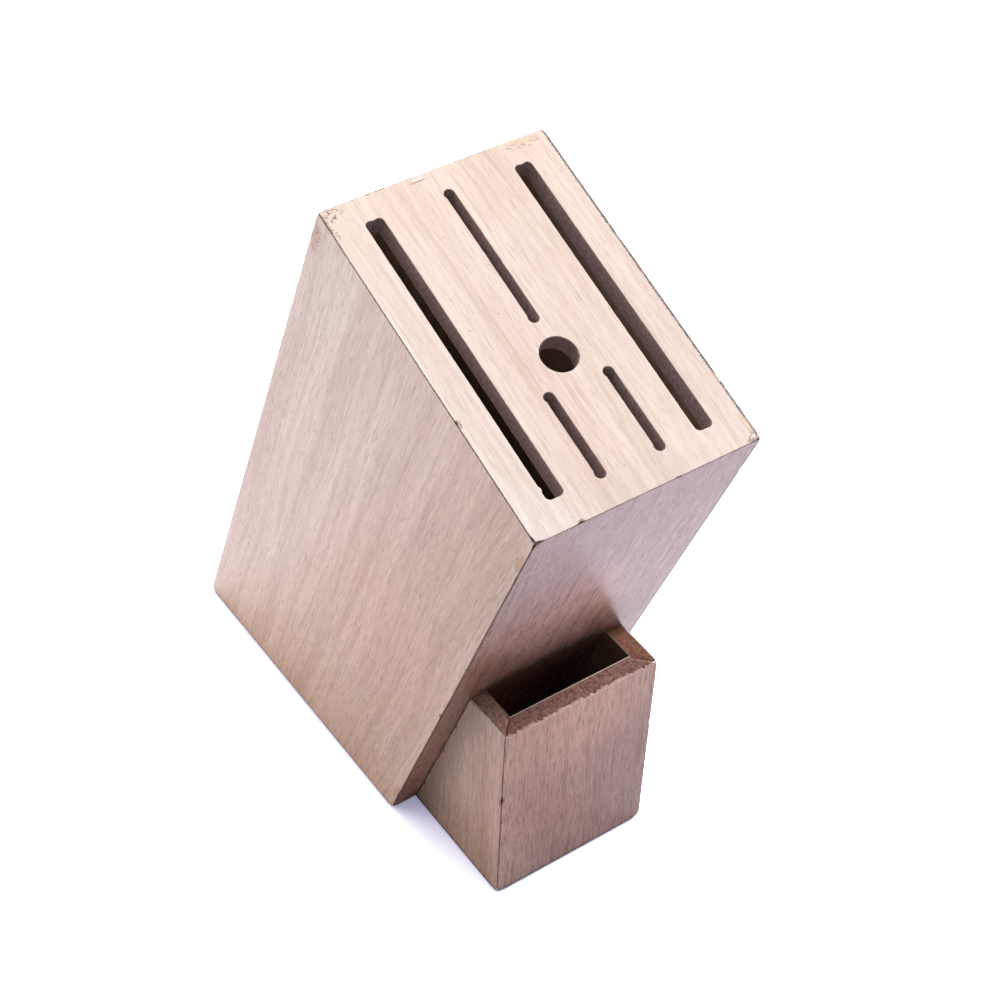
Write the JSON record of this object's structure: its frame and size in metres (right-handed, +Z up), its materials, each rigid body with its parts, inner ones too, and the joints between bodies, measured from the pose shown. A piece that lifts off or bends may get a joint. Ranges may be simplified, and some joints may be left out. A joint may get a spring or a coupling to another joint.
{
  "type": "knife block",
  "caption": "Leaning wooden knife block: a hollow mitred box with a slotted top, a round hole for a sharpening steel and a small open pocket on its front; empty.",
  "frame": {"origin": "on the table, midway between the sides and midway between the block's foremost and rearmost points", "axes": "+Z up; +X across the block, towards its right side as seen from the front; the front and its pocket look towards -Y"},
  "size_m": [0.1, 0.2484, 0.2902],
  "materials": {
    "veneer": "satin beech face veneer",
    "backing": "plain thin backing veneer",
    "board": "bare fibreboard",
    "pad": "matte"
  },
  "bodies": {
    "root": {"left_side_core": "board", "left_side_veneer": "veneer", "left_side_backing": "backing", "right_side_core": "board", "right_side_veneer": "veneer", "right_side_backing": "backing", "front_board_core": "board", "front_board_veneer": "veneer", "front_board_backing": "backing", "back_board_core": "board", "back_board_veneer": "veneer", "back_board_backing": "backing", "slot_board_core": "board", "slot_board_veneer": "veneer", "slot_board_backing": "backing", "base_board": "board", "pocket_left_core": "board", "pocket_left_veneer": "veneer", "pocket_left_backing": "backing", "pocket_right_core": "board", "pocket_right_veneer": "veneer", "pocket_right_backing": "backing", "pocket_front_core": "board", "pocket_front_veneer": "veneer", "pocket_front_backing": "backing", "pocket_floor": "board", "pad_back_left": "pad", "pad_back_right": "pad", "pad_front_left": "pad", "pad_front_right": "pad", "pad_pocket_left": "pad", "pad_pocket_right": "pad"}
  },
  "joints": []
}
